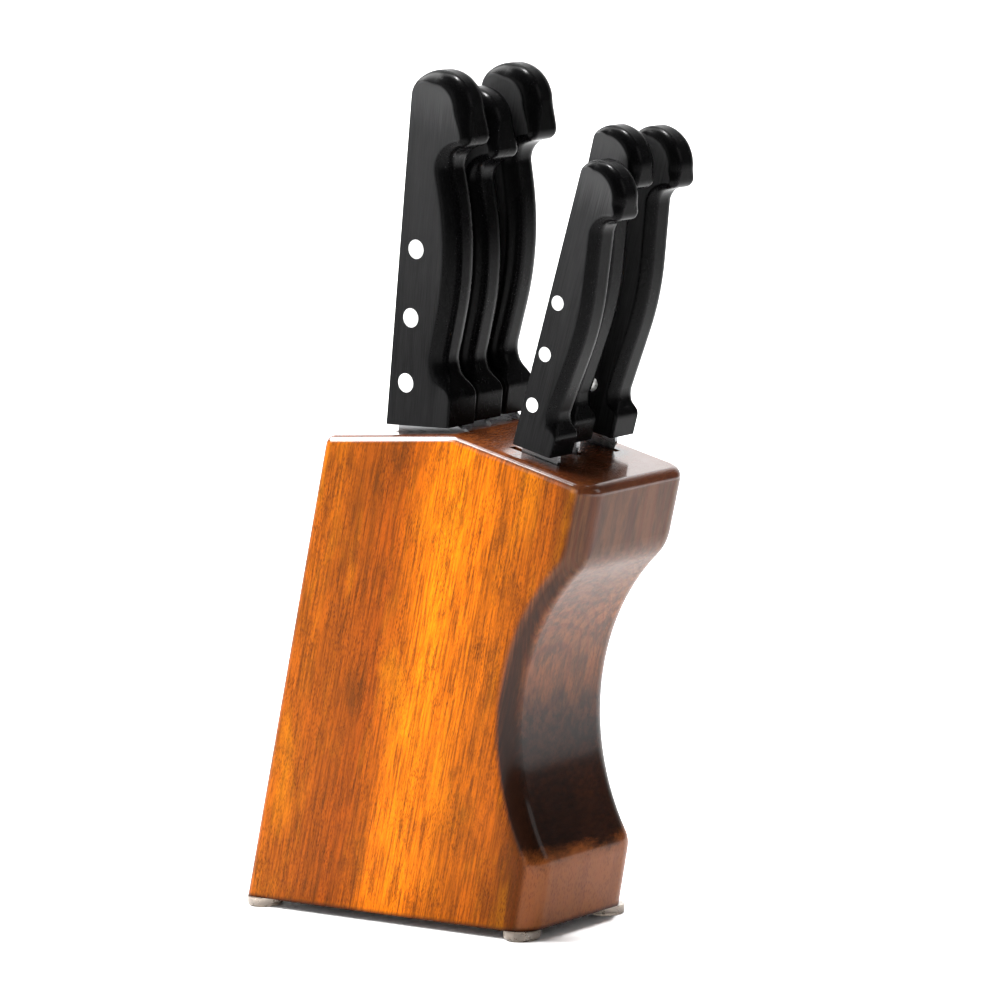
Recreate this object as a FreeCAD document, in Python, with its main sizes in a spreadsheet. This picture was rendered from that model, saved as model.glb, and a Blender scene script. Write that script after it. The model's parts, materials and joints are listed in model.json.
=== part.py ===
import FreeCAD, Part
import Sketcher
import math
import os

# Knife block with six knives.
# Frame: X across the block (its near cheek faces -X), -Y to the front, where the
# scooped face and the row of small knives are, +Z up. The origin lies on the surface
# that the feet stand on, under the middle of the whole object's box.
# All lengths in millimetres, all angles in degrees.

V3 = FreeCAD.Vector
doc = FreeCAD.newDocument("knife_block")
sheet = doc.addObject("Spreadsheet::Sheet", "Sizes")

# ----------------------------------------------------------------------------
# Driving dimensions
# ----------------------------------------------------------------------------
SIZES = [
    # block, side profile (y to the back, z up), measured from the resting surface
    ("base_height", 3.5, "height of the block's underside"),
    ("rear_bottom_y", 95.53, "rear face at the underside"),
    ("rear_top_y", 44.83, "rear face at the top"),
    ("rear_top_height", 185.6, "top at the rear face"),
    ("ridge_y", -17.67, "ridge where the top bends down"),
    ("ridge_height", 189.1, "top at the ridge"),
    ("brow_y", -81.97, "front face at the top"),
    ("brow_height", 172.5, "top at the front face"),
    ("lip_y", -73.47, "lower edge of the upper front face"),
    ("lip_height", 142.9, "lower edge of the upper front face"),
    ("toe_y", -50.87, "upper edge of the toe"),
    ("toe_height", 29.8, "upper edge of the toe"),
    ("toe_bottom_y", -44.47, "toe face at the underside"),
    ("scoop_radius", 86.8, "radius of the scooped front"),
    ("ridge_round", 12.0, "rounding over the ridge"),
    ("lip_round", 19.0, "rounding between front face and scoop"),
    ("toe_round", 10.5, "rounding between scoop and toe"),
    ("top_round", 3.9, "rounding round the top face"),
    ("front_round", 8.6, "rounding down both front corners"),
    ("rear_round", 4.1, "rounding down both rear corners"),
    # block, across
    ("cheek_x", -31.0, "outside face of the near board"),
    ("outer_board", 10.9, "thickness of the two outer boards"),
    ("inner_board", 15.3, "thickness of the two inner boards"),
    ("slot_gap", 3.2, "thickness of the spacer strips, width of the slots"),
    # feet
    ("foot_radius", 7.0, "pad radius"),
    ("foot_bevel", 0.9, "bevel round the pad's lower edge"),
    ("foot_x", 25.8, "pad centres from the middle"),
    ("foot_front_y", -38.07, "front pads"),
    ("foot_rear_y", 89.03, "rear pads"),
    # handles
    ("large_thick", 16.5, "large handle, across the cheeks"),
    ("small_thick", 14.0, "small handle, across the cheeks"),
    ("large_belly_round", 6.2, "large handle, rounding of belly and hook"),
    ("small_belly_round", 4.5, "small handle, rounding of belly and hook"),
    ("large_guard_round", 1.3, "large handle, rounding of the guard"),
    ("small_guard_round", 1.0, "small handle, rounding of the guard"),
    ("large_spine_round", 0.8, "large handle, rounding of the spine"),
    ("small_spine_round", 0.7, "small handle, rounding of the spine"),
    ("large_rivet", 3.6, "large rivet radius"),
    ("small_rivet", 2.75, "small rivet radius"),
    ("large_rivet_v", 8.2, "large rivets from the spine"),
    ("small_rivet_v", 4.4, "small rivets from the spine"),
    ("large_rivet_low", 17.5, "large rivets along the handle"),
    ("large_rivet_mid", 42.3, "large rivets along the handle"),
    ("large_rivet_high", 68.3, "large rivets along the handle"),
    ("small_rivet_low", 16.7, "small rivets along the handle"),
    ("small_rivet_mid", 36.1, "small rivets along the handle"),
    ("small_rivet_high", 55.6, "small rivets along the handle"),
    ("large_tang_front", 13.6, "large tang, front edge from the spine"),
    ("large_tang_rear", 1.8, "large tang, rear edge from the spine"),
    ("large_tang_top", 82.0, "large tang length"),
    ("small_tang_front", 8.4, "small tang, front edge from the spine"),
    ("small_tang_rear", 0.9, "small tang, rear edge from the spine"),
    ("small_tang_top", 70.0, "small tang length"),
    ("edge_thick", 0.4, "blade thickness behind the cutting edge"),
]

# outlines of the two handle patterns: v forward from the spine, u up from the
# lower end of the spine, and the rounding of that corner in side view
LARGE = [("a", 0.0, 0.0, 0.0), ("b", 0.0, 135.6, 10.4), ("c", 22.8, 135.7, 14.3),
         ("d", 28.1, 109.7, 4.0), ("e", 16.3, 106.9, 7.8), ("g", 28.2, 69.4, 110.0),
         ("i", 22.5, 26.7, 9.0), ("j", 29.7, 15.9, 5.0), ("k", 29.7, 4.4, 0.0)]
SMALL = [("a", 0.0, 0.0, 0.0), ("b", 0.0, 108.7, 5.7), ("c", 17.7, 110.4, 12.9),
         ("d", 20.6, 91.5, 3.2), ("e", 12.3, 90.45, 6.1), ("g", 18.2, 52.0, 95.0),
         ("i", 13.85, 15.6, 7.0), ("j", 17.4, 9.0, 3.6), ("k", 17.2, 1.5, 0.0)]
for pattern, outline in (("large", LARGE), ("small", SMALL)):
    for key, v, u, r in outline:
        SIZES.append((pattern + "_" + key + "_v", v, "handle outline"))
        SIZES.append((pattern + "_" + key + "_u", u, "handle outline"))
        if r:
            SIZES.append((pattern + "_" + key + "_round", r, "handle outline, corner"))

# the six knives: lane, pattern, place of the handle's lower rear corner, lean forward,
# handle scale, blade length, height and thickness, slot ends ahead of and behind the
# spine line, slot depth
KNIVES = [
    ("chef_knife", "near", "large", 17.36, 191.0, 8.65, 1.0, 176.0, 33.6, 2.2, 35.4, 1.6),
    ("carving_knife", "mid", "large", 17.66, 191.6, 9.2, 0.94, 172.0, 29.0, 2.2, 31.0, 1.6),
    ("bread_knife", "far", "large", 19.86, 193.0, 11.4, 0.996, 178.0, 31.5, 2.0, 33.4, 1.6),
    ("paring_knife", "near", "small", -42.14, 186.6, 19.75, 1.04, 88.0, 17.6, 1.6, 19.0, 4.6),
    ("utility_knife", "mid", "small", -35.74, 189.0, 17.6, 1.109, 112.0, 18.2, 1.6, 19.8, 3.0),
    ("boning_knife", "far", "small", -41.39, 188.8, 17.3, 1.092, 128.0, 16.4, 1.6, 18.0, 3.0),
]
for name, lane, pattern, y, z, lean, scale, length, height, thick, front, back in KNIVES:
    SIZES += [(name + "_y", y, "lower rear corner of the handle"),
              (name + "_z", z, "lower rear corner of the handle"),
              (name + "_lean", lean, "lean forward"),
              (name + "_scale", scale, "handle scale"),
              (name + "_length", length, "blade length below the handle"),
              (name + "_height", height, "blade height at the heel"),
              (name + "_thick", thick, "blade thickness at the spine"),
              (name + "_slot_front", front, "slot, front end from the spine line"),
              (name + "_slot_back", back, "slot, rear end from the spine line"),
              (name + "_slot_depth", length + 1.0, "slot depth below the handle")]

D = {}
for row, (alias, value, note) in enumerate(SIZES, start=1):
    sheet.set("A%d" % row, alias)
    sheet.set("B%d" % row, repr(float(value)))
    sheet.set("C%d" % row, note)
    sheet.setAlias("B%d" % row, alias)
    D[alias] = float(value)
doc.recompute()


class Num(object):
    """A number that carries the spreadsheet expression it came from."""

    def __init__(self, value, text):
        self.value, self.text = float(value), text

    def __add__(self, other):
        other = num(other)
        return Num(self.value + other.value, "(%s + %s)" % (self.text, other.text))

    def __sub__(self, other):
        other = num(other)
        return Num(self.value - other.value, "(%s - %s)" % (self.text, other.text))

    def __mul__(self, other):
        other = num(other)
        return Num(self.value * other.value, "(%s * %s)" % (self.text, other.text))

    def __truediv__(self, other):
        other = num(other)
        return Num(self.value / other.value, "(%s / %s)" % (self.text, other.text))

    def __neg__(self):
        return Num(-self.value, "(-1 * %s)" % self.text)


def num(x):
    return x if isinstance(x, Num) else Num(x, repr(float(x)))


def cell(alias):
    return Num(D[alias], "Sizes." + alias)


def ncos(angle):
    return Num(math.cos(math.radians(angle.value)), "cos(%s)" % angle.text)


def nsin(angle):
    return Num(math.sin(math.radians(angle.value)), "sin(%s)" % angle.text)


def bind(obj, prop, value):
    value = num(value)
    obj.setExpression(prop, value.text)


# ----------------------------------------------------------------------------
# Builders
# ----------------------------------------------------------------------------
def origin_plane(body, role):
    return [o for o in body.Origin.OriginFeatures if o.Role == role][0]


def new_body(name):
    body = doc.addObject("PartDesign::Body", name)
    body.Label = name
    return body


def new_sketch(body, name, role="YZ_Plane", offset=None):
    sketch = body.newObject("Sketcher::SketchObject", name)
    sketch.AttachmentSupport = [(origin_plane(body, role), "")]
    sketch.MapMode = "FlatFace"
    if offset is not None:
        sketch.AttachmentOffset = FreeCAD.Placement(offset, FreeCAD.Rotation())
    return sketch


def pin_point(sketch, geo, pos, tag, x, y):
    """Fix one sketch point from the sketch's origin, both lengths bound."""
    for axis, kind, value in (("x", "DistanceX", x), ("y", "DistanceY", y)):
        value = num(value)
        index = sketch.addConstraint(Sketcher.Constraint(kind, -1, 1, geo, pos, value.value))
        label = "%s_%s" % (tag, axis)
        sketch.renameConstraint(index, label)
        sketch.setExpression("Constraints." + label, value.text)


def polygon(sketch, points, tag="p", arcs=None):
    """Closed outline through bound points; arcs maps a side's number to (radius, sign)."""
    arcs = arcs or {}
    points = [(num(a), num(b)) for a, b in points]
    count = len(points)
    sides = []
    for i in range(count):
        ax, ay = points[i][0].value, points[i][1].value
        bx, by = points[(i + 1) % count][0].value, points[(i + 1) % count][1].value
        if i in arcs:
            radius, sign = arcs[i]
            radius = num(radius)
            half = 0.5 * math.hypot(bx - ax, by - ay)
            rise = math.sqrt(radius.value ** 2 - half ** 2)
            nx, ny = -(by - ay) / (2 * half), (bx - ax) / (2 * half)
            cx = 0.5 * (ax + bx) + sign * rise * nx
            cy = 0.5 * (ay + by) + sign * rise * ny
            a0, a1 = math.atan2(ay - cy, ax - cx), math.atan2(by - cy, bx - cx)
            circle = Part.Circle(V3(cx, cy, 0), V3(0, 0, 1), radius.value)
            if sign > 0:
                geo = sketch.addGeometry(Part.ArcOfCircle(circle, a0, a1))
                sides.append((geo, 1, 2))
            else:
                geo = sketch.addGeometry(Part.ArcOfCircle(circle, a1, a0))
                sides.append((geo, 2, 1))
            index = sketch.addConstraint(Sketcher.Constraint("Radius", geo, radius.value))
            label = "%s_radius_%d" % (tag, i)
            sketch.renameConstraint(index, label)
            sketch.setExpression("Constraints." + label, radius.text)
        else:
            geo = sketch.addGeometry(Part.LineSegment(V3(ax, ay, 0), V3(bx, by, 0)))
            sides.append((geo, 1, 2))
    for i in range(count):
        geo, first, last = sides[i]
        nxt, nfirst, nlast = sides[(i + 1) % count]
        sketch.addConstraint(Sketcher.Constraint("Coincident", geo, last, nxt, nfirst))
    for i in range(count):
        geo, first, last = sides[i]
        pin_point(sketch, geo, first, "%s%d" % (tag, i), points[i][0], points[i][1])
    return sides


def circle(sketch, tag, x, y, radius):
    x, y, radius = num(x), num(y), num(radius)
    geo = sketch.addGeometry(Part.Circle(V3(x.value, y.value, 0), V3(0, 0, 1), radius.value))
    index = sketch.addConstraint(Sketcher.Constraint("Radius", geo, radius.value))
    sketch.renameConstraint(index, tag + "_radius")
    sketch.setExpression("Constraints." + tag + "_radius", radius.text)
    pin_point(sketch, geo, 3, tag, x, y)


def pad(body, sketch, name, length, symmetric=False):
    feature = body.newObject("PartDesign::Pad", name)
    feature.Profile = sketch
    feature.SideType = "Symmetric" if symmetric else "One side"
    feature.Length = num(length).value
    bind(feature, "Length", length)
    doc.recompute()
    return feature


def pocket(body, sketch, name, length, symmetric=False, reverse=False):
    before = body.Shape.Volume
    feature = body.newObject("PartDesign::Pocket", name)
    feature.Profile = sketch
    feature.SideType = "Symmetric" if symmetric else "One side"
    feature.Reversed = reverse
    feature.Length = num(length).value
    bind(feature, "Length", length)
    doc.recompute()
    if body.Shape.Volume > before - 1e-3:
        raise RuntimeError("%s cuts nothing" % feature.Name)
    return feature


def edge_names(shape, test):
    return ["Edge%d" % (i + 1) for i, edge in enumerate(shape.Edges) if test(edge)]


def ends(edge):
    return [vertex.Point for vertex in edge.Vertexes]


def along_x_at(points, tolerance=0.05):
    """Edges parallel to X that pass through one of the (y, z) points."""
    def test(edge):
        p = ends(edge)
        if len(p) != 2 or abs(p[0].y - p[1].y) > 1e-4 or abs(p[0].z - p[1].z) > 1e-4:
            return False
        return any(abs(p[0].y - y) < tolerance and abs(p[0].z - z) < tolerance for y, z in points)
    return test


def round_edges(body, name, radius, test, expected=None):
    names = edge_names(body.Shape, test)
    if not names or (expected is not None and len(names) != expected):
        raise RuntimeError("%s: %d edges found" % (name, len(names)))
    base = body.Tip
    feature = body.newObject("PartDesign::Fillet", name)
    feature.Base = (base, names)
    feature.Radius = num(radius).value
    bind(feature, "Radius", radius)
    doc.recompute()
    if not body.Shape.isValid() or "Invalid" in feature.State or "Error" in feature.State:
        raise RuntimeError("%s failed: %s" % (name, feature.State))
    return feature


def cut_edges(body, name, size, test):
    names = edge_names(body.Shape, test)
    if not names:
        raise RuntimeError("%s: no edge found" % name)
    base = body.Tip
    feature = body.newObject("PartDesign::Chamfer", name)
    feature.Base = (base, names)
    feature.Size = num(size).value
    bind(feature, "Size", size)
    doc.recompute()
    return feature


# ----------------------------------------------------------------------------
# Block
# ----------------------------------------------------------------------------
PROFILE = [("rear_bottom_y", "base_height"), ("rear_top_y", "rear_top_height"),
           ("ridge_y", "ridge_height"), ("brow_y", "brow_height"), ("lip_y", "lip_height"),
           ("toe_y", "toe_height"), ("toe_bottom_y", "base_height")]


def corner(index):
    return (D[PROFILE[index][0]], D[PROFILE[index][1]])


def block_layer(name, x_start, thickness, outside=None):
    """One full layer of the block: the side profile, as thick as the layer."""
    x_start, thickness = num(x_start), num(thickness)
    body = new_body(name)
    sketch = new_sketch(body, name + "_profile")
    polygon(sketch, [(cell(a), cell(b)) for a, b in PROFILE],
            arcs={4: (cell("scoop_radius"), -1)})
    doc.recompute()
    pad(body, sketch, name + "_layer", thickness)
    round_edges(body, name + "_ridge", cell("ridge_round"), along_x_at([corner(2)]), 1)
    round_edges(body, name + "_lip", cell("lip_round"), along_x_at([corner(4)]), 1)
    round_edges(body, name + "_toe", cell("toe_round"), along_x_at([corner(5)]), 1)
    if outside is not None:
        x_out = 0.0 if outside == "near" else thickness.value
        rear_a, rear_b = corner(0), corner(1)

        def on_outside(edge):
            return all(abs(p.x - x_out) < 1e-4 for p in ends(edge))

        def rear_side(edge):
            p = ends(edge)
            return on_outside(edge) and {round(q.z, 1) for q in p} == \
                {round(rear_a[1], 1), round(rear_b[1], 1)} and min(q.y for q in p) > 0

        def top_side(edge):
            p = ends(edge)
            return on_outside(edge) and min(q.z for q in p) > corner(3)[1] - 0.5

        def front_side(edge):
            p = ends(edge)
            if not on_outside(edge) or top_side(edge):
                return False
            mid = edge.valueAt(0.5 * (edge.FirstParameter + edge.LastParameter))
            return mid.y < 0 and mid.z > corner(6)[1] + 0.5 and min(q.z for q in p) < corner(3)[1]

        round_edges(body, name + "_front_corner", cell("front_round"), front_side, 5)
        round_edges(body, name + "_rear_corner", cell("rear_round"), rear_side, 1)

        low = corner(3)[1] - 0.6

        def top_loop(edge):
            p = ends(edge)
            if min(q.z for q in p) < low:
                return False
            across = abs(p[0].y - p[1].y) < 1e-4
            if across and min(abs(p[0].y - corner(1)[0]), abs(p[0].y - corner(3)[0])) > 0.5:
                return False
            inner_x = thickness.value if outside == "near" else 0.0
            return not all(abs(q.x - inner_x) < 1e-4 for q in p) and on_top(edge)
        round_edges(body, name + "_top_edge", cell("top_round"), top_loop)
    else:
        round_edges(body, name + "_top_edge", cell("top_round"),
                    along_x_at([corner(1), corner(3)]), 2)
    body.Placement = FreeCAD.Placement(V3(x_start.value, 0, 0), FreeCAD.Rotation())
    bind(body, ".Placement.Base.x", x_start)
    return body


def on_top(edge):
    """True where the edge lies on the block's top face (rear flat, ridge or front slope)."""
    (yr, zr), (yc, zc), (yb, zb) = corner(1), corner(2), corner(3)

    def height(y):
        if y > yc:
            return zr + (zc - zr) * (y - yr) / (yc - yr)
        return zb + (zc - zb) * (y - yb) / (yc - yb)
    for k in (0.0, 0.5, 1.0):
        p = edge.valueAt(edge.FirstParameter + k * (edge.LastParameter - edge.FirstParameter))
        if abs(p.z - height(p.y)) > 0.4:
            return False
    return True


cheek = cell("cheek_x")
outer, inner, gap = cell("outer_board"), cell("inner_board"), cell("slot_gap")
near_slot_x = cheek + outer
mid_slot_x = near_slot_x + gap + inner
far_slot_x = mid_slot_x + gap + inner
SLOT_X = {"near": near_slot_x, "mid": mid_slot_x, "far": far_slot_x}
LANE_X = {lane: x + gap * 0.5 for lane, x in SLOT_X.items()}

nodes = {}
nodes["board_near"] = block_layer("board_near", cheek, outer, "near")
nodes["board_mid_near"] = block_layer("board_mid_near", near_slot_x + gap, inner)
nodes["board_mid_far"] = block_layer("board_mid_far", mid_slot_x + gap, inner)
nodes["board_far"] = block_layer("board_far", far_slot_x + gap, outer, "far")


def region_box(name, lane, knife, y_low, y_high, z_low, z_high):
    """A box in a knife's own frame, across the lane: y to the back, z up the knife."""
    lean = cell(knife + "_lean")
    c, s = ncos(lean), nsin(lean)
    y_low, y_high, z_low, z_high = num(y_low), num(y_high), num(z_low), num(z_high)
    box = doc.addObject("Part::Box", name)
    bind(box, "Length", gap + 2.0)
    bind(box, "Width", y_high - y_low)
    bind(box, "Height", z_high - z_low)
    base_y = cell(knife + "_y") + c * y_low - s * z_low
    base_z = cell(knife + "_z") + s * y_low + c * z_low
    box.Placement = FreeCAD.Placement(V3(SLOT_X[lane].value - 1.0, base_y.value, base_z.value),
                                      FreeCAD.Rotation(V3(1, 0, 0), lean.value))
    bind(box, ".Placement.Base.x", SLOT_X[lane] - 1.0)
    bind(box, ".Placement.Base.y", base_y)
    bind(box, ".Placement.Base.z", base_z)
    bind(box, ".Placement.Rotation.Angle", lean)
    return box


def common(name, *parts):
    feature = doc.addObject("Part::MultiCommon", name)
    feature.Shapes = list(parts)
    feature.Label = name
    return feature


for lane in ("near", "mid", "far"):
    large = [k[0] for k in KNIVES if k[1] == lane and k[2] == "large"][0]
    small = [k[0] for k in KNIVES if k[1] == lane and k[2] == "small"][0]
    layer = block_layer("layer_" + lane, SLOT_X[lane], gap)
    big_back, big_front = cell(large + "_slot_back"), -cell(large + "_slot_front")
    big_floor = -cell(large + "_slot_depth")
    little_back, little_front = cell(small + "_slot_back"), -cell(small + "_slot_front")
    little_floor = -cell(small + "_slot_depth")
    tag = "spacer_" + lane
    behind = region_box(tag + "_behind", lane, large, big_back, 300, -400, 200)
    ahead = region_box(tag + "_ahead", lane, large, -300, big_back, -400, 200)
    slot = region_box(tag + "_slot", lane, large, big_front, big_back, big_floor, 200)
    before = region_box(tag + "_before", lane, large, -300, big_front, -400, 200)
    below = region_box(tag + "_below", lane, small, -300, 300, -400, little_floor)
    between = region_box(tag + "_between", lane, small, little_back, 300, little_floor, 200)
    outermost = region_box(tag + "_outermost", lane, small, -300, little_front, little_floor, 200)
    nodes[tag + "_rear"] = common(tag + "_rear", layer, behind)
    rest = common(tag + "_rest", layer, ahead, below)
    cut = doc.addObject("Part::Cut", tag + "_base")
    cut.Base, cut.Tool = rest, slot
    cut.Label = tag + "_base"
    nodes[tag + "_base"] = cut
    nodes[tag + "_middle"] = common(tag + "_middle", layer, before, between)
    nodes[tag + "_front"] = common(tag + "_front", layer, outermost)
doc.recompute()

# four bumper pads under the corners
pads = []
for number, (sx, y_cell) in enumerate(((-1, "foot_front_y"), (1, "foot_front_y"),
                                       (-1, "foot_rear_y"), (1, "foot_rear_y"))):
    foot = new_body("foot_%d" % (number + 1))
    sketch = new_sketch(foot, foot.Name + "_section", "XZ_Plane")
    radius, bevel, height = cell("foot_radius"), cell("foot_bevel"), cell("base_height")
    polygon(sketch, [(0, 0), (radius - bevel, 0), (radius, bevel), (radius, height), (0, height)])
    turned = foot.newObject("PartDesign::Revolution", foot.Name + "_turned")
    turned.Profile = sketch
    turned.ReferenceAxis = (sketch, ["V_Axis"])
    turned.Angle = 360
    doc.recompute()
    foot.Placement = FreeCAD.Placement(V3(sx * D["foot_x"], D[y_cell], 0), FreeCAD.Rotation())
    bind(foot, ".Placement.Base.x", cell("foot_x") * sx)
    bind(foot, ".Placement.Base.y", cell(y_cell))
    pads.append(foot)
feet = doc.addObject("Part::Compound", "feet")
feet.Links = pads
feet.Label = "feet"
nodes["feet"] = feet


# ----------------------------------------------------------------------------
# Knives. Each piece is drawn in the knife's own frame: X across, -Y to the
# cutting edge, +Z up along the handle, origin at the lower rear corner of the
# handle. All pieces of one knife share one placement.
# ----------------------------------------------------------------------------
def place_in_lane(obj, knife, lane):
    lean = cell(knife + "_lean")
    obj.Placement = FreeCAD.Placement(
        V3(LANE_X[lane].value, D[knife + "_y"], D[knife + "_z"]),
        FreeCAD.Rotation(V3(1, 0, 0), lean.value))
    bind(obj, ".Placement.Base.x", LANE_X[lane])
    bind(obj, ".Placement.Base.y", cell(knife + "_y"))
    bind(obj, ".Placement.Base.z", cell(knife + "_z"))
    bind(obj, ".Placement.Rotation.Angle", lean)


def outline_points(pattern, outline, scale):
    return [(-(cell(pattern + "_" + key + "_v") * scale), cell(pattern + "_" + key + "_u") * scale)
            for key, v, u, r in outline]


def make_handle(knife, lane, pattern, outline):
    scale = cell(knife + "_scale")
    name = knife + "_handle"
    thick = cell(pattern + "_thick")
    body = new_body(name)
    sketch = new_sketch(body, name + "_outline")
    points = outline_points(pattern, outline, scale)
    polygon(sketch, points)
    pad(body, sketch, name + "_block", thick, symmetric=True)
    for (key, v, u, r), (py, pz) in zip(outline, points):
        if r:
            round_edges(body, name + "_corner_" + key, cell(pattern + "_" + key + "_round") * scale,
                        along_x_at([(py.value, pz.value)]), 1)
    # cavity for the tang, open at the lower end, and the three rivet holes
    tang = new_sketch(body, name + "_tang")
    t_front, t_rear = cell(pattern + "_tang_front"), cell(pattern + "_tang_rear")
    t_top = cell(pattern + "_tang_top") * scale
    polygon(tang, [(-t_rear, -8), (-t_rear, t_top), (-t_front, t_top), (-t_front, -8)])
    # outer edges are rounded before the cavity is cut, so only outline edges exist here
    half = 0.5 * thick.value

    def cheek_edge(edge):
        p = ends(edge)
        return len(p) == 2 and abs(abs(p[0].x) - half) < 1e-4 and abs(p[0].x - p[1].x) < 1e-4

    def is_spine(edge):
        return all(abs(q.y) < 1e-3 for q in ends(edge))

    def is_bottom(edge):
        a, b = points[0], points[-1]
        pa, pb = ends(edge)

        def near(q, r):
            return abs(q.y - r[0].value) < 0.01 and abs(q.z - r[1].value) < 0.01
        return (near(pa, a) and near(pb, b)) or (near(pa, b) and near(pb, a))

    tall = points[1][1].value
    arc_r = D[pattern + "_b_round"] * scale.value

    def is_shoulder(edge):
        mid = edge.valueAt(0.5 * (edge.FirstParameter + edge.LastParameter))
        return (edge.Curve.TypeId == "Part::GeomCircle" and mid.z > tall - arc_r
                and mid.y > -arc_r and not is_spine(edge))

    tip_y, tip_z = [p for row, p in zip(outline, points) if row[0] == "d"][0]
    tip_round = D[pattern + "_d_round"] * scale.value
    tip_r = tip_round - 0.2

    def near_tip(q):
        return math.hypot(q.y - tip_y.value, q.z - tip_z.value) < 1.3 * tip_round

    # the guard keeps a flat front with crisp edges, so the belly's rounding runs out into it
    guard_y, guard_z = [p for row, p in zip(outline, points) if row[0] == "j"][0]
    guard_reach = 0.75 * D[pattern + "_j_round"] * scale.value
    guard_r = D[pattern + "_guard_round"]

    def near_guard(q):
        return (math.hypot(q.y - guard_y.value, q.z - guard_z.value) < guard_reach
                or (q.z < guard_z.value and q.y < 0.7 * guard_y.value))

    def round_at(q):
        return guard_r if near_guard(q) else tip_r if near_tip(q) else belly_r

    cavity = pocket(body, tang, name + "_cavity", cell(knife + "_thick"), symmetric=True)
    holes = new_sketch(body, name + "_rivets")
    for key in ("low", "mid", "high"):
        circle(holes, key, -cell(pattern + "_rivet_v") * scale,
               cell(pattern + "_rivet_" + key) * scale, cell(pattern + "_rivet"))
    pocket(body, holes, name + "_holes", thick + 2.0, symmetric=True)
    spine_r, belly_r = D[pattern + "_spine_round"], D[pattern + "_belly_round"]
    rounded = doc.addObject("Part::Fillet", name + "_rounded")
    rounded.Base = body
    rows = []
    for i, edge in enumerate(body.Shape.Edges):
        if not cheek_edge(edge) or is_bottom(edge):
            continue
        if edge.Curve.TypeId == "Part::GeomCircle" and abs(
                edge.Curve.Radius - D[pattern + "_rivet"]) < 1e-4:
            continue
        if is_spine(edge):
            rows.append((i + 1, spine_r, spine_r))
        elif is_shoulder(edge):
            first = edge.valueAt(edge.FirstParameter)
            last = edge.valueAt(edge.LastParameter)
            if first.z < last.z:
                rows.append((i + 1, spine_r, belly_r))
            else:
                rows.append((i + 1, belly_r, spine_r))
        else:
            rows.append((i + 1,) + tuple(
                round_at(edge.valueAt(t)) for t in (edge.FirstParameter, edge.LastParameter)))
    rounded.Edges = rows
    doc.recompute()
    rounded.Label = name
    place_in_lane(body, knife, lane)
    doc.recompute()
    return rounded


def blade_outline(knife, pattern):
    """Side view of blade and tang: v forward, u up; and the blade corners to round."""
    L, H = cell(knife + "_length"), cell(knife + "_height")
    scale = cell(knife + "_scale")
    t_front, t_rear = cell(pattern + "_tang_front"), cell(pattern + "_tang_rear")
    t_top = cell(pattern + "_tang_top") * scale
    bottom_v, bottom_u = cell(pattern + "_k_v") * scale, cell(pattern + "_k_u") * scale
    slope = bottom_u / bottom_v
    pts = [(t_rear, slope * t_rear), (t_rear, t_top), (t_front, t_top),
           (t_front, slope * t_front)]
    rounds = []
    if pattern == "large":
        pts += [(bottom_v - 1.0, (bottom_v - 1.0) * slope), (H, bottom_u - 2.2)]
    else:
        pts += [(H - 0.6, (H - 0.6) * slope), (H, num(-1.2))]
    if knife == "chef_knife":
        pts += [(H, -L * 0.16), (H * 0.93, -L * 0.5), (H * 0.66, -L * 0.80), (num(1.4), -L)]
        rounds = [(7, 160.0), (8, 75.0)]
    elif knife == "carving_knife":
        pts += [(H, -L * 0.70), (H * 0.78, -L * 0.90), (num(1.4), -L)]
        rounds = [(6, 60.0), (7, 24.0)]
    elif knife == "bread_knife":
        pts += [(H, -L * 0.93), (H * 0.72, -L), (num(1.4), -L * 0.955)]
        rounds = [(6, 7.0), (7, 10.0)]
    elif knife == "paring_knife":
        pts += [(H, -L * 0.55), (H * 0.66, -L * 0.84), (num(1.2), -L)]
        rounds = [(6, 40.0), (7, 18.0)]
    elif knife == "utility_knife":
        pts += [(H, -L * 0.62), (H * 0.70, -L * 0.87), (num(1.2), -L)]
        rounds = [(6, 50.0), (7, 22.0)]
    else:
        pts += [(H * 0.74, -L * 0.22), (H * 0.68, -L * 0.70), (H * 0.46, -L * 0.90),
                (num(1.2), -L)]
        rounds = [(6, 22.0), (7, 60.0), (8, 24.0)]
    pts += [(num(0.9), -L * 0.62), (num(0.7), num(0.7) * slope)]
    return pts, rounds


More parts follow.
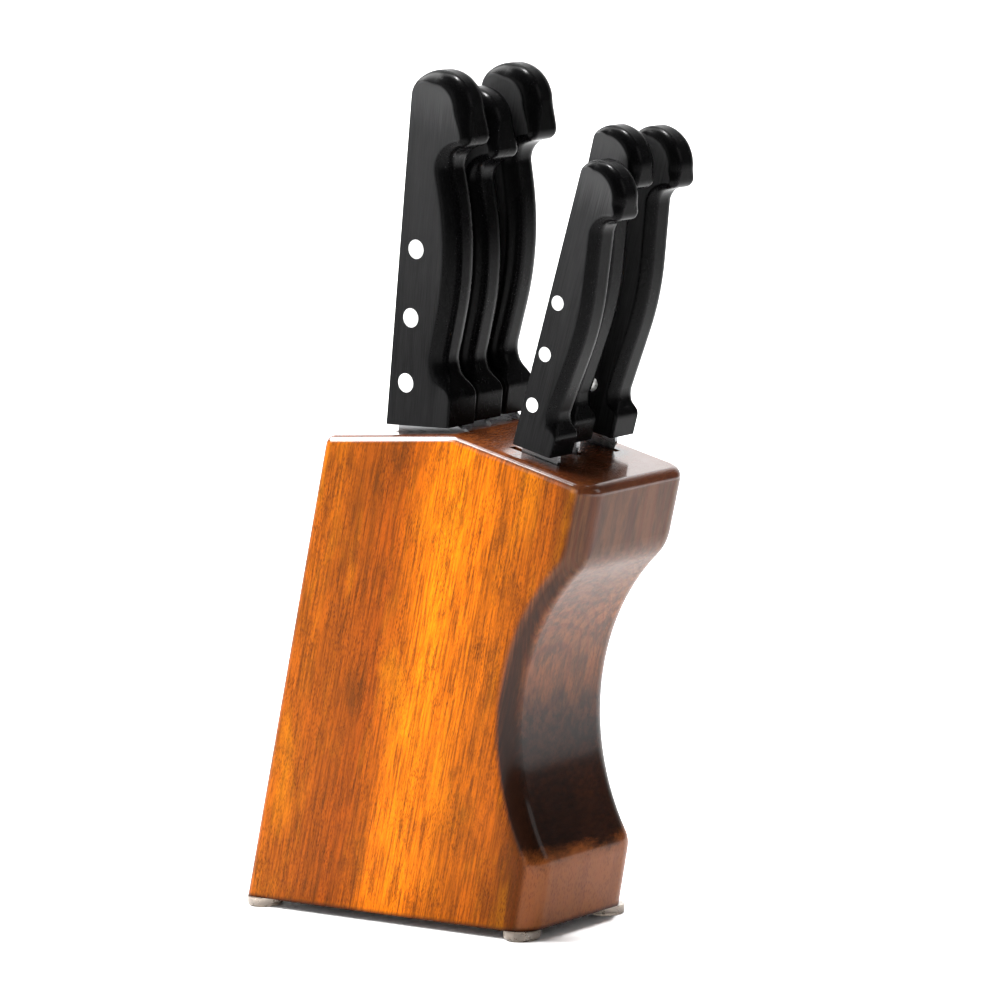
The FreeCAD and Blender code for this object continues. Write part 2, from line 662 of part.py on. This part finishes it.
def make_blade(knife, lane, pattern):
    name = knife + "_blade"
    thick = cell(knife + "_thick")
    L, H = cell(knife + "_length"), cell(knife + "_height")
    body = new_body(name)
    sketch = new_sketch(body, name + "_outline")
    pts, rounds = blade_outline(knife, pattern)
    points = [(-a, b) for a, b in pts]
    polygon(sketch, points)
    pad(body, sketch, name + "_plate", thick, symmetric=True)
    for index, radius in rounds:
        round_edges(body, "%s_sweep_%d" % (name, index), radius,
                    along_x_at([(points[index][0].value, points[index][1].value)]), 1)
    # both faces ground away towards the cutting edge
    half, edge_half = thick * 0.5, cell("edge_thick") * 0.5
    start = H * 0.42 if pattern == "large" else H * 0.38
    for side in (-1, 1):
        grind = new_sketch(body, "%s_grind_%s" % (name, "a" if side < 0 else "b"), "XY_Plane",
                           V3(0, 0, -3.0))
        polygon(grind, [(half * side, -start), (edge_half * side, -(H + 0.4)),
                        ((half + 1.0) * side, -(H + 0.4)), ((half + 1.0) * side, -start)])
        pocket(body, grind, grind.Name + "_cut", L + 20.0, reverse=False)
    # the blade thins towards its tip
    for side in (-1, 1):
        taper = new_sketch(body, "%s_taper_%s" % (name, "a" if side < 0 else "b"), "XZ_Plane")
        polygon(taper, [(half * side, -L * 0.35), (edge_half * side * 1.3, -(L + 0.5)),
                        ((half + 1.0) * side, -(L + 0.5)), ((half + 1.0) * side, -L * 0.35)])
        pocket(body, taper, taper.Name + "_cut", H * 4.0, symmetric=True)
    if knife == "bread_knife":
        scallop = new_sketch(body, name + "_scallop")
        circle(scallop, "scallop", -(H + 1.7), -L * 0.085, 3.0)
        bite = pocket(body, scallop, name + "_bite", thick + 2.0, symmetric=True)
        row = body.newObject("PartDesign::LinearPattern", name + "_row")
        row.Originals = [bite]
        row.Direction = (scallop, ["V_Axis"])
        row.Reversed = True
        bind(row, "Length", L * 0.80)
        row.Occurrences = 26
        body.Tip = row
        doc.recompute()
    holes = new_sketch(body, name + "_rivets")
    for key in ("low", "mid", "high"):
        circle(holes, key, -cell(pattern + "_rivet_v") * cell(knife + "_scale"),
               cell(pattern + "_rivet_" + key) * cell(knife + "_scale"), cell(pattern + "_rivet"))
    pocket(body, holes, name + "_holes", thick + 2.0, symmetric=True)
    place_in_lane(body, knife, lane)
    doc.recompute()
    return body


def make_rivets(knife, lane, pattern):
    name = knife + "_rivets"
    body = new_body(name)
    sketch = new_sketch(body, name + "_shanks")
    for key in ("low", "mid", "high"):
        circle(sketch, key, -cell(pattern + "_rivet_v") * cell(knife + "_scale"),
               cell(pattern + "_rivet_" + key) * cell(knife + "_scale"), cell(pattern + "_rivet"))
    pad(body, sketch, name + "_length", cell(pattern + "_thick"), symmetric=True)
    place_in_lane(body, knife, lane)
    doc.recompute()
    return body


for row in KNIVES:
    knife, lane, pattern = row[0], row[1], row[2]
    outline = LARGE if pattern == "large" else SMALL
    nodes[knife + "_handle"] = make_handle(knife, lane, pattern, outline)
    nodes[knife + "_blade"] = make_blade(knife, lane, pattern)
    nodes[knife + "_rivets"] = make_rivets(knife, lane, pattern)

# ----------------------------------------------------------------------------
# Check everything, then write one STEP file for each piece
# ----------------------------------------------------------------------------
doc.recompute()
for obj in doc.Objects:
    if "Invalid" in obj.State or "Error" in obj.State:
        raise RuntimeError("%s is in state %s" % (obj.Name, obj.State))
for name, obj in nodes.items():
    shape = obj.Shape
    if shape.isNull() or not shape.isValid() or not shape.Solids:
        raise RuntimeError("%s has no valid solid" % name)
    wanted = {"feet": 4}.get(name, 3 if name.endswith("_rivets") else 1)
    if len(shape.Solids) != wanted:
        raise RuntimeError("%s has %d solids" % (name, len(shape.Solids)))

os.makedirs("parts", exist_ok=True)
for name, obj in nodes.items():
    obj.Shape.exportStep("parts/%s.step" % name)
    box = obj.Shape.BoundBox
    print("%-24s solids %d volume %9.1f  x %.1f..%.1f  y %.1f..%.1f  z %.1f..%.1f" % (
        name, len(obj.Shape.Solids), obj.Shape.Volume, box.XMin, box.XMax, box.YMin, box.YMax,
        box.ZMin, box.ZMax))
print("%d nodes written" % len(nodes))
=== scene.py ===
import bpy
import json
import math
from mathutils import Matrix, Vector


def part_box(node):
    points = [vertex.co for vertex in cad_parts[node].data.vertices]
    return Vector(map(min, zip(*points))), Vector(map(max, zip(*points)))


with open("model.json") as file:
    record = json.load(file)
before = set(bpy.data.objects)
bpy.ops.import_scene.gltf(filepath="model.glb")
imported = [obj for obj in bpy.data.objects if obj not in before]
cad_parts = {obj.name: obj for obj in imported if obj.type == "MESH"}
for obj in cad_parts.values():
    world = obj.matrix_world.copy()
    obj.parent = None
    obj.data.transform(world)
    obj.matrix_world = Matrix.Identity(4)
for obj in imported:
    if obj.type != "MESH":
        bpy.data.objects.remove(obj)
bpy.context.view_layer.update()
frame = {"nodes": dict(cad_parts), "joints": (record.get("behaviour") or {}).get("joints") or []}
nodes = frame["nodes"]
scene = bpy.context.scene


# ---------------------------------------------------------------------------
# Small node-graph helper
# ---------------------------------------------------------------------------
class Graph:
    def __init__(self, name):
        self.mat = bpy.data.materials.new(name)
        self.mat.use_nodes = True
        self.nt = self.mat.node_tree
        self.nt.nodes.clear()
        self.out = self.nt.nodes.new("ShaderNodeOutputMaterial")
        self.bsdf = self.nt.nodes.new("ShaderNodeBsdfPrincipled")
        self.nt.links.new(self.bsdf.outputs[0], self.out.inputs[0])
        self.coord = self.nt.nodes.new("ShaderNodeTexCoord").outputs["Object"]

    def put(self, socket, value):
        if isinstance(value, bpy.types.NodeSocket):
            self.nt.links.new(value, socket)
        else:
            socket.default_value = value

    def shader(self, **values):
        names = {"color": "Base Color", "rough": "Roughness", "metal": "Metallic",
                 "coat": "Coat Weight", "coat_rough": "Coat Roughness", "coat_ior": "Coat IOR",
                 "normal": "Normal", "coat_normal": "Coat Normal", "ior": "IOR",
                 "spec": "Specular IOR Level", "sheen": "Sheen Weight", "trans": "Transmission Weight",
                 "sss": "Subsurface Weight", "sss_scale": "Subsurface Scale",
                 "sss_radius": "Subsurface Radius", "aniso": "Anisotropic",
                 "aniso_rot": "Anisotropic Rotation", "tangent": "Tangent"}
        for key, value in values.items():
            self.put(self.bsdf.inputs[names[key]], value)
        return self.mat

    def math(self, op, a, b=0.0, clamp=False, c=None):
        n = self.nt.nodes.new("ShaderNodeMath")
        n.operation = op
        n.use_clamp = clamp
        self.put(n.inputs[0], a)
        self.put(n.inputs[1], b)
        if c is not None:
            self.put(n.inputs[2], c)
        return n.outputs[0]

    def vmath(self, op, a, b=(0, 0, 0)):
        n = self.nt.nodes.new("ShaderNodeVectorMath")
        n.operation = op
        self.put(n.inputs[0], a)
        self.put(n.inputs[1], b)
        return n.outputs["Value"] if op in ("LENGTH", "DOT_PRODUCT", "DISTANCE") else n.outputs["Vector"]

    def mapping(self, vec, loc=(0, 0, 0), rot=(0, 0, 0), scale=(1, 1, 1)):
        n = self.nt.nodes.new("ShaderNodeMapping")
        self.put(n.inputs["Vector"], vec)
        self.put(n.inputs["Location"], loc)
        self.put(n.inputs["Rotation"], rot)
        self.put(n.inputs["Scale"], scale)
        return n.outputs[0]

    def noise(self, vec, scale=1.0, detail=2.0, rough=0.5, dist=0.0):
        n = self.nt.nodes.new("ShaderNodeTexNoise")
        self.put(n.inputs["Vector"], vec)
        self.put(n.inputs["Scale"], scale)
        self.put(n.inputs["Detail"], detail)
        self.put(n.inputs["Roughness"], rough)
        self.put(n.inputs["Distortion"], dist)
        return n.outputs["Fac"]

    def voronoi(self, vec, scale=1.0, feature="F1", rand=1.0):
        n = self.nt.nodes.new("ShaderNodeTexVoronoi")
        n.feature = feature
        self.put(n.inputs["Vector"], vec)
        self.put(n.inputs["Scale"], scale)
        self.put(n.inputs["Randomness"], rand)
        return n.outputs["Distance"]

    def ramp(self, fac, stops, interp="LINEAR"):
        n = self.nt.nodes.new("ShaderNodeValToRGB")
        n.color_ramp.interpolation = interp
        e = n.color_ramp.elements
        while len(e) < len(stops):
            e.new(0.5)
        for el, (pos, col) in zip(e, stops):
            el.position = pos
            el.color = (col, col, col, 1) if isinstance(col, (int, float)) else tuple(col) + (1,)
        self.put(n.inputs[0], fac)
        return n.outputs[0]

    def remap(self, value, a, b, c=0.0, d=1.0, smooth=False):
        n = self.nt.nodes.new("ShaderNodeMapRange")
        n.clamp = True
        n.interpolation_type = "SMOOTHSTEP" if smooth else "LINEAR"
        self.put(n.inputs[0], value)
        for k, v in enumerate((a, b, c, d), start=1):
            self.put(n.inputs[k], v)
        return n.outputs[0]

    def mix(self, fac, a, b, blend="MIX"):
        n = self.nt.nodes.new("ShaderNodeMix")
        n.data_type = "RGBA"
        n.blend_type = blend
        self.put(n.inputs["Factor"], fac)
        for sock, v in ((n.inputs[6], a), (n.inputs[7], b)):
            self.put(sock, v if isinstance(v, bpy.types.NodeSocket) else tuple(v) + (1,))
        return n.outputs[2]

    def xyz(self, vec):
        n = self.nt.nodes.new("ShaderNodeSeparateXYZ")
        self.put(n.inputs[0], vec)
        return n.outputs

    def join(self, x, y, z):
        n = self.nt.nodes.new("ShaderNodeCombineXYZ")
        for s, v in zip(n.inputs, (x, y, z)):
            self.put(s, v)
        return n.outputs[0]

    def bump(self, height, strength=0.2, distance=0.0002, normal=None):
        n = self.nt.nodes.new("ShaderNodeBump")
        self.put(n.inputs["Height"], height)
        n.inputs["Strength"].default_value = strength
        n.inputs["Distance"].default_value = distance
        if normal is not None:
            self.put(n.inputs["Normal"], normal)
        return n.outputs[0]


def srgb(r, g, b):
    return tuple((c / 255 / 12.92) if c / 255 <= 0.04045 else ((c / 255 + 0.055) / 1.055) ** 2.4
                 for c in (r, g, b))


# ---------------------------------------------------------------------------
# Stained, varnished beech
# ---------------------------------------------------------------------------
GRAIN = math.radians(15.6)


def beech(name, tone=1.0, shift=0.0):
    g = Graph(name)
    # grain space: x across the block, y across the grain in the cheek's plane, z along it
    p = g.mapping(g.coord, rot=(-GRAIN, 0, 0))
    # slow warp, so that nothing runs dead straight
    warp = g.noise(g.mapping(p, scale=(14, 20, 6)), 1.0, 2.0, 0.5)
    x, y, z = g.xyz(p)
    y1 = g.math("ADD", y, g.math("MULTIPLY", g.math("SUBTRACT", warp, 0.5), 0.016))
    y1 = g.math("ADD", y1, shift)
    # broad stripes left by how the wood took the stain
    t = g.remap(y1, -0.060, 0.110)
    stripes = g.ramp(t, [
        (0.00, srgb(66, 26, 8)), (0.18, srgb(100, 44, 10)), (0.27, srgb(196, 94, 12)),
        (0.36, srgb(218, 108, 10)), (0.43, srgb(236, 120, 8)), (0.50, srgb(250, 132, 4)),
        (0.555, srgb(240, 122, 6)), (0.61, srgb(200, 94, 10)), (0.66, srgb(174, 78, 12)),
        (0.76, srgb(172, 80, 14)), (0.87, srgb(190, 92, 16)), (1.0, srgb(206, 104, 24))], "EASE")
    # streaks a few millimetres wide, long along the grain
    streak = g.noise(g.mapping(p, scale=(70, 150, 10)), 1.0, 4.0, 0.62, 0.35)
    col = g.mix(g.remap(streak, 0.42, 0.72, 0.0, 0.52), stripes, srgb(112, 56, 10))
    # close dark lines, the thickness of a pencil line and less
    fine = g.noise(g.mapping(p, scale=(260, 1000, 46)), 1.0, 4.0, 0.66)
    col = g.mix(g.remap(fine, 0.43, 0.62, 0.0, 0.74), col, srgb(84, 42, 8))
    # blotches where the stain soaked in deeper, and paler patches between them
    blotch = g.noise(g.mapping(p, scale=(34, 60, 30)), 1.0, 7.0, 0.72, 0.4)
    col = g.mix(g.remap(blotch, 0.48, 0.68, 0.0, 0.55, True), col, srgb(96, 50, 14))
    glow = g.noise(g.mapping(p, loc=(3.1, 7.7, 1.3), scale=(24, 60, 16)), 1.0, 5.0, 0.64, 0.3)
    col = g.mix(g.remap(glow, 0.50, 0.76, 0.0, 0.36, True), col, srgb(250, 146, 4))
    # growth rings round a heart behind the scoop
    ringwarp = g.noise(g.mapping(p, loc=(1.7, 0.4, 2.2), scale=(36, 36, 9)), 1.0, 3.0, 0.55)
    rx = g.math("ADD", x, 0.0125)
    ry = g.math("SUBTRACT", y, 0.046)
    r = g.math("SQRT", g.math("ADD", g.math("MULTIPLY", rx, rx), g.math("MULTIPLY", ry, ry)))
    r = g.math("ADD", r, g.math("MULTIPLY", ringwarp, 0.0050))
    ring = g.math("FRACT", g.math("DIVIDE", r, 0.0017))
    late = g.remap(ring, 0.45, 0.90, 0.0, 1.0, True)
    late = g.math("MULTIPLY", late, g.remap(ring, 0.90, 1.0, 1.0, 0.0))
    # short dark flecks: rays cut across
    fv = g.voronoi(g.mapping(p, scale=(1100, 2300, 520)), 1.0)
    spread = g.noise(g.mapping(p, scale=(120, 150, 60)), 1.0, 3.0, 0.6)
    fleck = g.math("MULTIPLY", g.remap(fv, 0.20, 0.52, 1.0, 0.0), g.remap(spread, 0.36, 0.62, 0.25, 1.0))
    col = g.mix(g.math("MULTIPLY", fleck, 0.70), col, srgb(62, 30, 8))
    pore = g.voronoi(g.mapping(p, loc=(0.3, 0.2, 0.7), scale=(2600, 2600, 800)), 1.0)
    dots = g.remap(pore, 0.16, 0.36, 1.0, 0.0)
    col = g.mix(g.math("MULTIPLY", dots, g.remap(blotch, 0.42, 0.64, 0.10, 0.60)), col, srgb(56, 28, 8))
    # where on the block: cheeks, rounded corners, top, scoop, toe, underside
    ax, ay, az = g.xyz(g.coord)
    across = g.math("ABSOLUTE", ax)
    flat = g.remap(across, 0.0300, 0.0309, 0.0, 1.0, True)
    corner = g.math("MULTIPLY", g.remap(across, 0.0235, 0.0275, 0.0, 1.0, True), g.remap(across, 0.0290, 0.0306, 1.0, 0.0, True))
    ridge = g.math("ADD", ay, 0.0177)
    lid = g.math("MINIMUM", g.math("ADD", g.math("MULTIPLY", ridge, -0.056), 0.1891),
                 g.math("ADD", g.math("MULTIPLY", ridge, 0.258), 0.1891))
    top = g.remap(g.math("SUBTRACT", az, lid), -0.0043, -0.0032, 0.0, 1.0, True)
    # the front, the top and the scoop are darker than the cheeks: partly a heavier stain, partly painted shade on
    # the faces turned from the light; the lower scoop is darkest of all, mostly painted shade
    stain_and_shade = g.mix(0.60, g.mix(1.0, col, (0.50, 0.48, 0.40), "MULTIPLY"), srgb(92, 60, 38))
    stain_and_shade = g.mix(g.remap(fine, 0.40, 0.64, 0.0, 0.62), stain_and_shade, srgb(40, 22, 11))
    stain_and_shade = g.mix(g.math("MULTIPLY", late, 0.40), stain_and_shade, srgb(70, 24, 12))
    # painted shade: the lower scoop is multiplied down to near black
    scoop_painted_shade = g.mix(1.0, stain_and_shade, (0.15, 0.11, 0.08), "MULTIPLY")
    toe = g.mix(0.40, col, srgb(140, 82, 40))
    toe = g.mix(g.math("MULTIPLY", fleck, 0.50), toe, srgb(76, 36, 14))
    drift = g.math("ADD", az, g.math("MULTIPLY", g.math("SUBTRACT", blotch, 0.5), 0.026))
    front = g.remap(ay, 0.004, 0.028, 1.0, 0.0, True)
    scoop = g.mix(g.remap(drift, 0.112, 0.070, 0.0, 1.0, True), stain_and_shade, scoop_painted_shade)
    scoop = g.mix(g.remap(drift, 0.036, 0.027, 0.0, 1.0, True), scoop, toe)
    stain_and_shade = g.mix(front, stain_and_shade, scoop)
    # a dark band on the rounded front corners, partly stain and partly painted shade where the rounding turns from
    # the light
    corner_stain_and_shade = g.math("MULTIPLY", corner, g.math("MULTIPLY", g.remap(az, 0.030, 0.042), g.remap(az, 0.150, 0.135)))
    corner_stain_and_shade = g.math("MULTIPLY", corner_stain_and_shade, front)
    stain_and_shade = g.mix(g.math("MULTIPLY", corner_stain_and_shade, 0.80), stain_and_shade, srgb(30, 12, 4))
    stain_and_shade = g.mix(g.math("MULTIPLY", top, 0.55), stain_and_shade, srgb(70, 28, 8))
    cheek = g.mix(1.0, col, (0.70, 0.74, 0.45), "MULTIPLY")
    belt = g.math("MULTIPLY", g.remap(y1, 0.002, 0.018, 0.0, 1.0, True), g.remap(y1, 0.030, 0.044, 1.0, 0.0, True))
    cheek = g.mix(g.math("MULTIPLY", belt, 0.62), cheek, g.mix(1.0, col, (1.0, 0.94, 0.6), "MULTIPLY"))
    col = g.mix(flat, stain_and_shade, cheek)
    # the underside is painted near black: painted shade for the dark gap under the block
    col = g.mix(g.remap(az, 0.0037, 0.0052, 0.85, 0.0), col, srgb(26, 16, 10))
    if tone != 1.0:
        col = g.mix(1.0, col, (tone, tone, tone), "MULTIPLY")
    height = g.math("ADD", g.math("MULTIPLY", fleck, -0.6), g.math("MULTIPLY", fine, 0.5))
    wave = g.noise(g.mapping(p, scale=(60, 60, 30)), 1.0, 2.0, 0.5)
    bump = g.bump(height, 0.22, 0.00012)
    soft = g.bump(wave, 0.10, 0.0012)
    rough = g.remap(g.math("ADD", g.math("MULTIPLY", streak, 0.6), g.math("MULTIPLY", fleck, 0.5)),
                    0.2, 0.9, 0.36, 0.54)
    # the cheeks are rubbed down to a low sheen, the rounded edges and the faces keep their gloss
    coat = g.math("ADD", g.remap(flat, 0.0, 1.0, 0.26, 0.02), g.math("MULTIPLY", top, 0.74), True)
    return g.shader(color=col, rough=rough, spec=0.035, normal=bump,
                    coat=coat, coat_rough=0.12, coat_ior=1.5, coat_normal=soft)


# ---------------------------------------------------------------------------
# Moulded handles: brushed cheeks, polished edges
# ---------------------------------------------------------------------------
def handle_black(name, lane, half, lean, top, long):
    g = Graph(name)
    q = g.mapping(g.coord, rot=(-math.radians(lean), 0, 0))
    x, y, z = g.xyz(q)
    across = g.math("ABSOLUTE", g.math("SUBTRACT", x, lane))
    cheek = g.remap(across, half - 0.00022, half - 0.00004)
    brush = g.noise(g.mapping(q, scale=(300, 2600, 70)), 1.0, 3.0, 0.6)
    broad = g.noise(g.mapping(q, scale=(90, 320, 22)), 1.0, 3.0, 0.6)
    speck = g.noise(g.mapping(q, scale=(1900, 1900, 1900)), 1.0, 2.0, 0.6)
    lines = g.math("ADD", g.math("MULTIPLY", brush, 0.65), g.math("MULTIPLY", broad, 0.35))
    matte = g.mix(g.remap(lines, 0.36, 0.66), (0.0032, 0.0032, 0.0034), (0.0110, 0.0110, 0.0113))
    gloss = g.mix(g.remap(speck, 0.4, 0.7), (0.0012, 0.0012, 0.0013), (0.0030, 0.0030, 0.0032))
    col = g.mix(cheek, gloss, matte)
    rough_m = g.remap(lines, 0.34, 0.68, 0.46, 0.32)
    smear = g.noise(g.mapping(q, scale=(60, 60, 34)), 1.0, 4.0, 0.6)
    rough_g = g.remap(smear, 0.35, 0.7, 0.20, 0.32)
    rough = g.math("ADD", g.math("MULTIPLY", rough_m, cheek),
                   g.math("MULTIPLY", rough_g, g.math("SUBTRACT", 1.0, cheek)))
    height = g.math("ADD", g.math("MULTIPLY", g.math("MULTIPLY", brush, cheek), 1.0),
                    g.math("MULTIPLY", speck, 0.12))
    # paler grey towards the butt: painted sheen, with some wear; the coat there is the polish the palm gives it
    along = g.math("ADD", z, g.math("MULTIPLY", g.math("SUBTRACT", lines, 0.5), 0.016))
    butt_wear_and_sheen = g.remap(along, top - 0.82 * long, top - 0.06 * long, 0.0, 1.0)
    worn = g.remap(along, top - 0.19 * long, top - 0.045 * long, 0.0, 1.0, True)
    # painted sheen with some wear: the cheek is lightened towards the butt
    col = g.mix(g.math("MULTIPLY", g.math("MULTIPLY", butt_wear_and_sheen, cheek), 0.34), col, (0.055, 0.055, 0.056))
    polish = g.math("MULTIPLY", g.math("MULTIPLY", worn, cheek), 0.80)
    return g.shader(color=col, rough=rough, spec=0.045, coat=polish, coat_rough=0.30, coat_ior=1.5,
                    normal=g.bump(height, 0.30, 0.00006))


def rivet_metal(name, lean, centres):
    g = Graph(name)
    q = g.mapping(g.coord, rot=(-math.radians(lean), 0, 0))
    fine = g.noise(g.mapping(q, scale=(500, 2400, 300)), 1.0, 3.0, 0.6)
    worn = g.noise(g.mapping(q, scale=(700, 700, 700)), 1.0, 3.0, 0.6)
    col = g.mix(g.remap(fine, 0.35, 0.68), (0.90, 0.90, 0.89), (0.97, 0.97, 0.96))
    rough = g.remap(g.math("ADD", g.math("MULTIPLY", fine, 0.6), g.math("MULTIPLY", worn, 0.4)),
                    0.35, 0.65, 0.26, 0.40)
    return g.shader(color=col, metal=1.0, rough=rough, normal=g.bump(fine, 0.15, 0.00004))


def blade_steel(name, lean):
    g = Graph(name)
    q = g.mapping(g.coord, rot=(-math.radians(lean), 0, 0))
    lines = g.noise(g.mapping(q, scale=(800, 90, 3200)), 1.0, 3.0, 0.62)
    broad = g.noise(g.mapping(q, scale=(120, 40, 260)), 1.0, 3.0, 0.6)
    marks = g.noise(g.mapping(q, scale=(60, 60, 60)), 1.0, 5.0, 0.65, 0.6)
    grain = g.math("ADD", g.math("MULTIPLY", lines, 0.7), g.math("MULTIPLY", broad, 0.3))
    col = g.mix(g.remap(grain, 0.34, 0.68), (0.235, 0.24, 0.245), (0.37, 0.375, 0.385))
    col = g.mix(g.remap(marks, 0.58, 0.78, 0.0, 0.30), col, (0.15, 0.15, 0.15))
    rough = g.remap(g.math("ADD", grain, g.math("MULTIPLY", marks, 0.4)), 0.4, 0.9, 0.19, 0.36)
    return g.shader(color=col, metal=1.0, rough=rough, normal=g.bump(lines, 0.18, 0.00004))


def soft_pad(name):
    g = Graph(name)
    n = g.noise(g.mapping(g.coord, scale=(420, 420, 420)), 1.0, 3.0, 0.6)
    big = g.noise(g.mapping(g.coord, scale=(90, 90, 200)), 1.0, 3.0, 0.6)
    col = g.mix(g.remap(big, 0.35, 0.7), srgb(190, 176, 162), srgb(132, 120, 108))
    rough = g.remap(n, 0.3, 0.7, 0.22, 0.42)
    return g.shader(color=col, rough=rough, trans=0.55, ior=1.45, normal=g.bump(n, 0.12, 0.0001))


def give(obj, mat):
    obj.data.materials.clear()
    obj.data.materials.append(mat)
    for poly in obj.data.polygons:
        poly.material_index = 0


wood_tones = {"board_near": (1.0, 0.0), "board_mid_near": (0.97, 0.0), "board_mid_far": (1.02, 0.0),
              "board_far": (0.98, 0.0)}
for name, (tone, shift) in wood_tones.items():
    give(nodes[name], beech("beech_" + name, tone, shift))
for lane in ("near", "mid", "far"):
    strip = beech("beech_strip_" + lane, 0.90, 0.0)
    for part in ("rear", "base", "middle", "front"):
        give(nodes["spacer_%s_%s" % (lane, part)], strip)
give(nodes["feet"], soft_pad("clear_pad"))

LEAN = {}
for joint in frame["joints"]:
    ax = joint["axis"]
    LEAN[joint["child"]] = math.degrees(math.atan2(-ax[1], ax[2]))
# where each handle's butt lies along its lean, for the paler butt (painted sheen with some wear) and its polish
for knife, lean in LEAN.items():
    lo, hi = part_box(knife + "_handle")
    lane, half = 0.5 * (lo.x + hi.x), 0.5 * (hi.x - lo.x)
    tilt = math.radians(lean)
    reach = [-(m.y * math.sin(tilt)) + m.z * math.cos(tilt) for m in
             (nodes[knife + "_handle"].matrix_world @ v.co
              for v in nodes[knife + "_handle"].data.vertices)]
    give(nodes[knife + "_handle"], handle_black("handle_" + knife, lane, half, lean,
                                                max(reach), max(reach) - min(reach)))
    give(nodes[knife + "_rivets"], rivet_metal("rivet_" + knife, lean, None))
    give(nodes[knife + "_blade"], blade_steel("steel_" + knife, lean))

# ---------------------------------------------------------------------------
# Floor, light, camera
# ---------------------------------------------------------------------------
def floor_white():
    g = Graph("floor_white")
    n = g.noise(g.mapping(g.coord, scale=(2.0, 2.0, 2.0)), 1.0, 3.0, 0.5)
    col = g.mix(g.remap(n, 0.3, 0.7), (0.90, 0.90, 0.90), (0.93, 0.93, 0.93))
    return g.shader(color=col, rough=0.55, spec=0.3)


# one sheet of paper: flat under the block, curving up behind it
verts, faces = [], []
profile = [(-3.2, 0.0), (-1.0, 0.0), (0.0, 0.0), (1.0, 0.0)]
for k in range(1, 13):
    a = math.radians(90 * k / 12)
    profile.append((1.0 + 0.9 * math.sin(a), 0.9 * (1 - math.cos(a))))
profile.append((1.9, 3.6))
back = Vector((0.7763, 0.6303, 0.0))
side = Vector((0.6303, -0.7763, 0.0))
for i, (d, h) in enumerate(profile):
    for s in (-3.4, 3.4):
        q = back * d + side * s
        verts.append((q.x, q.y, h))
    if i:
        faces.append((2 * i - 2, 2 * i - 1, 2 * i + 1, 2 * i))
mesh = bpy.data.meshes.new("paper")
mesh.from_pydata(verts, [], faces)
for poly in mesh.polygons:
    poly.use_smooth = True
paper = bpy.data.objects.new("paper", mesh)
scene.collection.objects.link(paper)
paper.data.materials.append(floor_white())

world = scene.world or bpy.data.worlds.new("soft")
scene.world = world
world.use_nodes = True
world.node_tree.nodes["Background"].inputs[0].default_value = (1, 1, 1, 1)
world.node_tree.nodes["Background"].inputs[1].default_value = 0.12


def panel(name, place, target, size, watts, color=(1, 1, 1), spread=180):
    data = bpy.data.lights.new(name, "AREA")
    data.shape = "RECTANGLE"
    data.size, data.size_y = size
    data.energy = watts
    data.color = color
    data.spread = math.radians(spread)
    light = bpy.data.objects.new(name, data)
    scene.collection.objects.link(light)
    light.location = place
    light.rotation_mode = "QUATERNION"
    light.rotation_quaternion = (Vector(target) - Vector(place)).to_track_quat("-Z", "Y")
    return light


panel("left_bank", (-1.55, 0.25, 0.62), (0, 0, 0.14), (1.2, 1.2), 7.7)
panel("rim_strip", (-0.80, 1.02, 1.10), (0, 0, 0.17), (0.62, 0.46), 9)
panel("overhead", (-0.25, 0.95, 1.36), (0, 0, 0.15), (1.0, 0.9), 75)
panel("backdrop_wash", (0.5, 0.5, 2.6), (1.4, 1.2, 0.4), (2.0, 1.0), 70)
panel("front_card", (0.9, -1.6, 0.9), (0, 0, 0.15), (0.7, 1.0), 4)
panel("top_spot", (0.55, -0.15, 1.65), (0, 0, 0.25), (0.20, 0.20), 34)

cam_data = bpy.data.cameras.new("camera")
cam = bpy.data.objects.new("camera", cam_data)
scene.collection.objects.link(cam)
cam_data.sensor_width = 36.0
cam_data.lens = 5640.0 * 36.0 / 1000.0
az, el, roll = math.radians(-50.93), math.radians(8.114), math.radians(-2.228)
forward = Vector((-math.sin(az) * math.cos(el), math.cos(az) * math.cos(el), -math.sin(el)))
right0 = Vector((math.cos(az), math.sin(az), 0.0))
up0 = right0.cross(forward)
right = right0 * math.cos(roll) + up0 * math.sin(roll)
up = -right0 * math.sin(roll) + up0 * math.cos(roll)
cam.matrix_world = Matrix((
    (right.x, up.x, -forward.x, -1.6263),
    (right.y, up.y, -forward.y, -1.33497),
    (right.z, up.z, -forward.z, 0.4592),
    (0, 0, 0, 1)))
cam_data.clip_start, cam_data.clip_end = 0.1, 20.0
scene.camera = cam
scene.view_settings.view_transform = "Standard"
scene.view_settings.look = "None"
